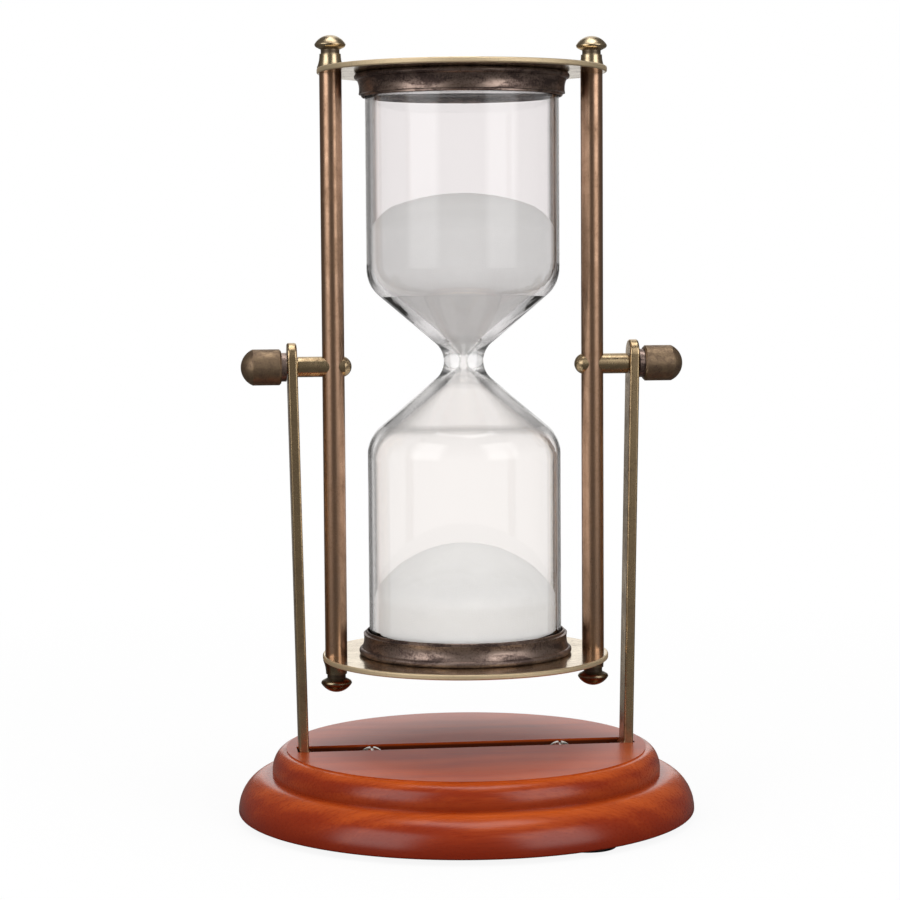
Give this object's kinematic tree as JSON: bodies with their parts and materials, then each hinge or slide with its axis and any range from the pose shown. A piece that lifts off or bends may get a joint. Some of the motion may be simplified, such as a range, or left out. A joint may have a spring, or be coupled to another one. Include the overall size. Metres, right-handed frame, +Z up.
{
  "type": "rotating hourglass",
  "caption": "Hourglass with a clear double bulb and white sand in a brass frame that turns end over end between the legs of a U bracket on a round stained-wood base.",
  "frame": {"origin": "centre of the base on the table, at the underside of the foot pads", "axes": "+Z up along the upright glass, +X along the pivot axis towards the right knob, -Y to the front"},
  "size_m": [0.1286, 0.1286, 0.2181],
  "materials": {
    "stained_wood": "gloss",
    "pad_rubber": "matte",
    "aged_brass": "satin",
    "screw_steel": "satin",
    "brown_brass": "satin",
    "dark_bronze": "satin",
    "knob_bronze": "satin",
    "pale_felt": "matte",
    "clear_glass": "polished",
    "white_sand": "matte"
  },
  "bodies": {
    "stand": {"wood_base": "stained_wood", "bracket": "aged_brass", "bracket_screws": "screw_steel", "left_foot_pad": "pad_rubber", "front_foot_pad": "pad_rubber", "back_foot_pad": "pad_rubber"},
    "hourglass": {"top_plate": "aged_brass", "bottom_plate": "aged_brass", "top_left_finial": "aged_brass", "top_right_finial": "aged_brass", "bottom_left_finial": "aged_brass", "bottom_right_finial": "aged_brass", "left_pivot_pin": "aged_brass", "right_pivot_pin": "aged_brass", "left_spacer": "aged_brass", "right_spacer": "aged_brass", "left_post": "brown_brass", "right_post": "brown_brass", "top_collar": "dark_bronze", "bottom_collar": "dark_bronze", "left_washer": "dark_bronze", "right_washer": "dark_bronze", "top_cushion": "pale_felt", "bottom_cushion": "pale_felt", "glass_bulb": "clear_glass", "upper_sand": "white_sand", "lower_sand": "white_sand"},
    "left_knob": {"left_knob": "knob_bronze"},
    "right_knob": {"right_knob": "knob_bronze"}
  },
  "joints": [
    {"name": "flip", "type": "hinge", "parent": "stand", "child": "hourglass", "pos_m": [0, 0, 0.1268], "axis": [1, 0, 0], "continuous": true},
    {"name": "left_knob_turn", "type": "hinge", "parent": "hourglass", "child": "left_knob", "pos_m": [-0.056, 0, 0.1268], "axis": [-1, 0, 0], "range_deg": [0, 360]},
    {"name": "right_knob_turn", "type": "hinge", "parent": "hourglass", "child": "right_knob", "pos_m": [0.056, 0, 0.1268], "axis": [1, 0, 0], "range_deg": [0, 360]}
  ]
}
